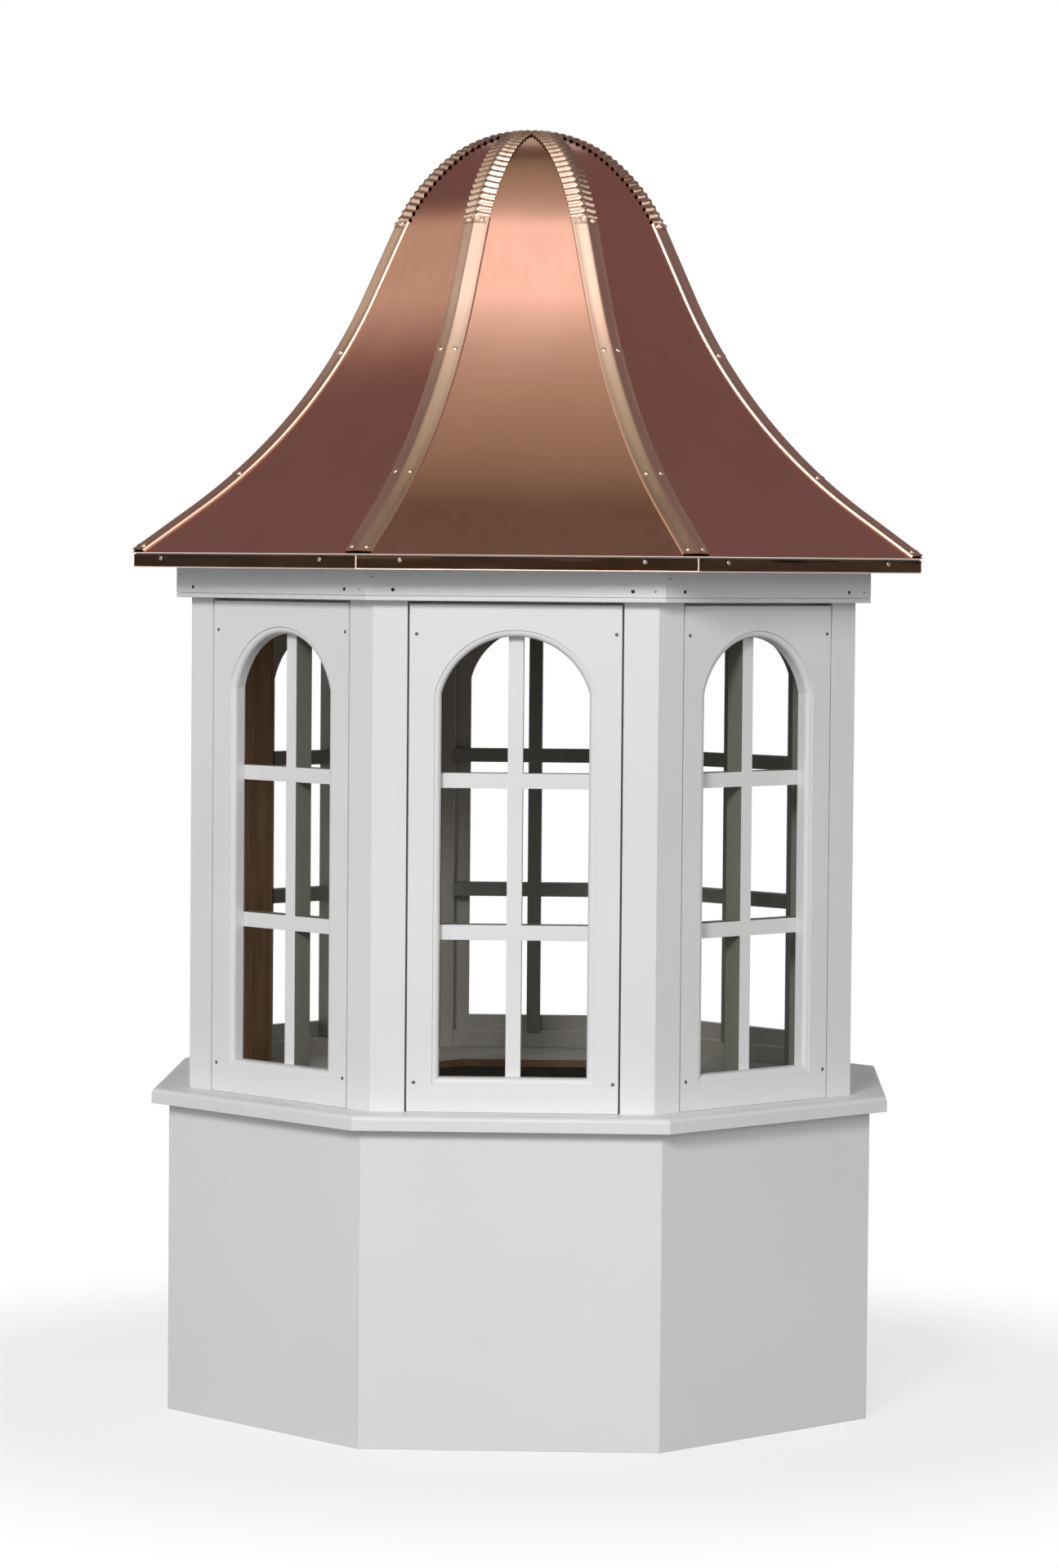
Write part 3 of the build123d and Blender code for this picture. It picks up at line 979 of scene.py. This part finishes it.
def fasteners(name, head, places, first_angle, finish, slot, seed):
    """Heads at (point, facing) places of one side, copied to all sides."""
    piece = new_mesh(name, [p for p, _ in places], [])
    layer = piece.data.attributes.new("facing", "FLOAT_VECTOR", "POINT")
    layer.data.foreach_set("vector", [c for _, facing in places for c in facing])
    run_tree(piece, heads_on_points, {"Head": head, "Tilt": head_tilt, "Seed": seed})
    copy_round(piece, finish, first_angle)
    shade_smooth(piece, 50)
    finish_piece(piece, slot)


print("tree:", heads_on_points.name)

# %% Rivets along both flanges of every hip
rivet_levels = [1557 * mm, 1386.5 * mm, 1226.5 * mm, 1131 * mm]
rivet_inward = 10.5 * mm
lift_on_cap, lift_on_strip = cap_middle + 0.4 * mm, -0.5 * mm


def rivet_places():
    """The uppermost pair holds the cap, the others the strip."""
    places = []
    for order, level in enumerate(rivet_levels):
        lift = lift_on_strip if order else lift_on_cap
        run = run_at_height(level)
        slope = bell(run)[2]
        for side in (1, -1):
            turn = side * half_turn
            normal = Vector((sin(slope) * cos(turn), sin(slope) * sin(turn), cos(slope)))
            places.append((hip_frame_point(run, rivet_inward, side, lift), normal))
    return places


fasteners("hip_rivets", rivet_head, rivet_places(), hip_angle, rivet_copper, "copper_sheet", 3)

# %% Screws in the eave band, nails in frieze and window panels
outward = Vector((1, 0, 0))


def wall_places(apothem, *places):
    """Places in one wall as (across, level) in millimetres."""
    return [(Vector((apothem, across * mm, level * mm)), outward) for across, level in places]


frieze_apothem = -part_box("frieze_ring")[0].y
wall_apothem = -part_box("window_panel_front")[0].y
band_places = wall_places(eave_apothem, (-157, 1115), (145, 1115))
nail_places = wall_places(frieze_apothem, (-153, 1078), (146, 1078))
pin_places = wall_places(frieze_apothem, (-179, 1094), (174, 1078))
panel_places = wall_places(wall_apothem, (-124, 460), (126, 460), (-124, 1023), (126, 1024))
band_angle = front_angle + roof_turn
fasteners("eave_band_screws", screw_head, band_places, band_angle, screw_steel, "copper_sheet", 5)
# The frieze nails are near black, a painted shade of their holes.
fasteners("frieze_nails", nail_head, nail_places, front_angle, dark_steel, "white_vinyl", 7)
fasteners("mitre_pins", pin_head, pin_places, front_angle, nail_steel, "white_vinyl", 8)
fasteners("panel_nails", nail_head, panel_places, front_angle, nail_steel, "white_vinyl", 9)
for head in (rivet_head, screw_head, nail_head, pin_head):
    bpy.data.objects.remove(head)

# %% [markdown]
# ## Stage, light and camera
# The floor and the background are white. One low, soft lamp stands in front, a little to the left: low
# enough for its light to reach the frieze under the eave. What copper mirrors matters as much as what
# lights it. The mirrored studio is brightest right in front and falls off overhead. It has a pale wall far to
# the left and a grey patch behind, is dim elsewhere, and is white round the horizon, where the background
# is. What fills the shadows is apart from that: a soft band over the horizon in front, stronger on the right.

# %% Floor
floor_size = 40
floor_pale, floor_bounce, floor_rough = 0.86, 0.25, 0.9
shadow_white = 0.68
white_from, white_at = 0.65, 1.25


def pale_floor():
    """Grows white with distance for the camera and for mirrors; keeps a faint shadow near the object."""
    material, tree, shader, where = new_material("pale_floor")
    tree.links.new(fit_range(tree, seen_rays(tree), floor_bounce, floor_pale), shader.inputs["Base Color"])
    shader.inputs["Roughness"].default_value = floor_rough
    length = add(tree, "ShaderNodeVectorMath", operation="LENGTH")
    tree.links.new(where, length.inputs[0])
    far = add(tree, "ShaderNodeMapRange", interpolation_type="SMOOTHSTEP")
    far.inputs["From Min"].default_value = white_from
    far.inputs["From Max"].default_value = white_at
    far.inputs["To Min"].default_value = shadow_white
    tree.links.new(length.outputs["Value"], far.inputs["Value"])
    glow = add(tree, "ShaderNodeEmission")
    blend = add(tree, "ShaderNodeMixShader")
    tree.links.new(calculate(tree, "MULTIPLY", far.outputs[0], seen_rays(tree)), blend.inputs[0])
    tree.links.new(shader.outputs[0], blend.inputs[1])
    tree.links.new(glow.outputs[0], blend.inputs[2])
    tree.links.new(blend.outputs[0], tree.nodes["Material Output"].inputs["Surface"])
    return material


def seen_rays(tree):
    """1 for what the camera sees, directly, mirrored or through glass; 0 for what only lights."""
    rays = add(tree, "ShaderNodeLightPath")
    mirrored = calculate(tree, "MAXIMUM", rays.outputs["Is Camera Ray"], rays.outputs["Is Glossy Ray"])
    return calculate(tree, "MAXIMUM", mirrored, rays.outputs["Is Transmission Ray"])


corners = [(-1, -1), (1, -1), (1, 1), (-1, 1)]
floor = new_mesh("floor", [(x * floor_size, y * floor_size, 0) for x, y in corners], [(0, 1, 2, 3)])
floor.data.materials.append(pale_floor())
print("floor, metres across:", 2 * floor_size)

# %% World


def grey(level):
    return (level,) * 3


fill_low, fill_band, fill_high = 0.40, 1.10, 0.22
right_gain = 1.4
dim, left_pale, left_share = (0.165, 0.120, 0.128), (0.9, 0.9, 0.78), 0.6
black, white = grey(0.0), grey(1.0)


def mirrored_studio(tree, x, y, z):
    """What copper and steel mirror."""
    front_light = ramp(tree, share_between(tree, y, 1.0, -1.0), [
        (0.30, dim), (0.365, (0.10, 0.09, 0.085)), (0.45, (0.26, 0.25, 0.19)), (0.62, (0.38, 0.39, 0.31)),
        (0.72, (0.51, 0.50, 0.46)), (0.79, grey(0.80)), (0.82, grey(1.22))])
    off_middle = calculate(tree, "ABSOLUTE", x, 0.0)
    around = mixed(tree, share_between(tree, off_middle, 0.45, 0.70), front_light, dim)
    left_wall = calculate(tree, "MULTIPLY", share_between(tree, x, -0.71, -0.82), left_share)
    around = mixed(tree, left_wall, around, left_pale)
    behind = calculate(tree, "MULTIPLY", share_between(tree, y, 0.50, 0.62),
                       share_between(tree, y, 0.95, 0.85))
    patch = calculate(tree, "MULTIPLY", behind, share_between(tree, off_middle, 0.26, 0.16))
    around = mixed(tree, patch, around, grey(0.5))
    return mixed(tree, share_between(tree, z, 0.16, 0.06), around, white)


def shadow_fill(tree, x, y, z):
    """What lights the object from all round and is never seen."""
    on_the_right = share_between(tree, x, 0.1, 0.8)
    band = mixed(tree, on_the_right, grey(fill_band), grey(right_gain * fill_band))
    band_mask = ramp(tree, z, [(0.10, black), (0.18, white), (0.38, white), (0.50, black)])
    plain_fill = ramp(tree, z, [(0.30, grey(fill_low)), (0.50, grey(fill_high))])
    fill = mixed(tree, band_mask, plain_fill, band)
    return mixed(tree, share_between(tree, y, 0.30, 0.05), grey(fill_low), fill)


def studio_world():
    """White to the camera, the studio to a mirror, and the fill to everything else."""
    world = bpy.data.worlds.new("studio")
    scene.world = world
    world.use_nodes = True
    tree = world.node_tree
    split = add(tree, "ShaderNodeSeparateXYZ")
    wire(tree, add(tree, "ShaderNodeTexCoord").outputs["Generated"], split, "Vector")
    x, y, z = split.outputs["X"], split.outputs["Y"], split.outputs["Z"]
    rays = add(tree, "ShaderNodeLightPath")
    plain = calculate(tree, "MAXIMUM", rays.outputs["Is Camera Ray"], rays.outputs["Is Transmission Ray"])
    shown = mixed(tree, plain, mirrored_studio(tree, x, y, z), white)
    colour = mixed(tree, seen_rays(tree), shadow_fill(tree, x, y, z), shown)
    tree.links.new(colour, tree.nodes["Background"].inputs["Color"])
    print("world:", world.name)


studio_world()

# %% Lamp
lamp_distance = 9.0
lamp_height = 23.2
lamp_aside = -12
lamp_wide, lamp_tall = 1.8, 1.9
lamp_power = 388
lamp_aim = Vector((0, 0, 0.8))


def key_lamp():
    lamp = bpy.data.lights.new("key_lamp", "AREA")
    lamp.shape = "RECTANGLE"
    lamp.size = lamp_wide
    lamp.size_y = lamp_tall
    lamp.energy = lamp_power
    holder = bpy.data.objects.new("key_lamp", lamp)
    scene.collection.objects.link(holder)
    up, aside = radians(lamp_height), radians(lamp_aside)
    direction = Vector((sin(aside) * cos(up), -cos(aside) * cos(up), sin(up)))
    holder.location = lamp_aim + lamp_distance * direction
    holder.rotation_euler = (lamp_aim - holder.location).to_track_quat("-Z", "Y").to_euler()
    holder.visible_camera = False
    print("lamp:", holder.name, "watts:", lamp_power)


key_lamp()

# %% [markdown]
# The camera was worked out from the corners of the octagons in the picture: how far away, how high and
# how tilted it stood. It looks a touch downwards and leans by half a degree.

# %% Camera
camera_distance = 6.4328
camera_height = 1.1131
camera_side = radians(1.9)
heading = radians(0.035) - camera_side
tilt_down = radians(2.64)
camera_roll = radians(0.482)
focal_pixels = 5880
picture_height = 1920
sensor = 36


def photo_camera():
    lens = bpy.data.cameras.new("camera")
    lens.sensor_width = sensor
    lens.lens = sensor * focal_pixels / picture_height
    camera = bpy.data.objects.new("camera", lens)
    scene.collection.objects.link(camera)
    forward = Vector((sin(heading) * cos(tilt_down), cos(heading) * cos(tilt_down), -sin(tilt_down)))
    right = forward.cross(Vector((0, 0, 1))).normalized()
    up = right.cross(forward)
    right_leaning = right * cos(camera_roll) + up * sin(camera_roll)
    up_leaning = up * cos(camera_roll) - right * sin(camera_roll)
    turn = Matrix((right_leaning, up_leaning, -forward)).transposed()
    place = (camera_distance * sin(camera_side), -camera_distance * cos(camera_side), camera_height)
    camera.matrix_world = Matrix.Translation(place) @ turn.to_4x4()
    scene.camera = camera
    return camera


camera = photo_camera()
print("lens in millimetres:", round(camera.data.lens, 1))

# %% Finish
scene.view_settings.view_transform = "Standard"
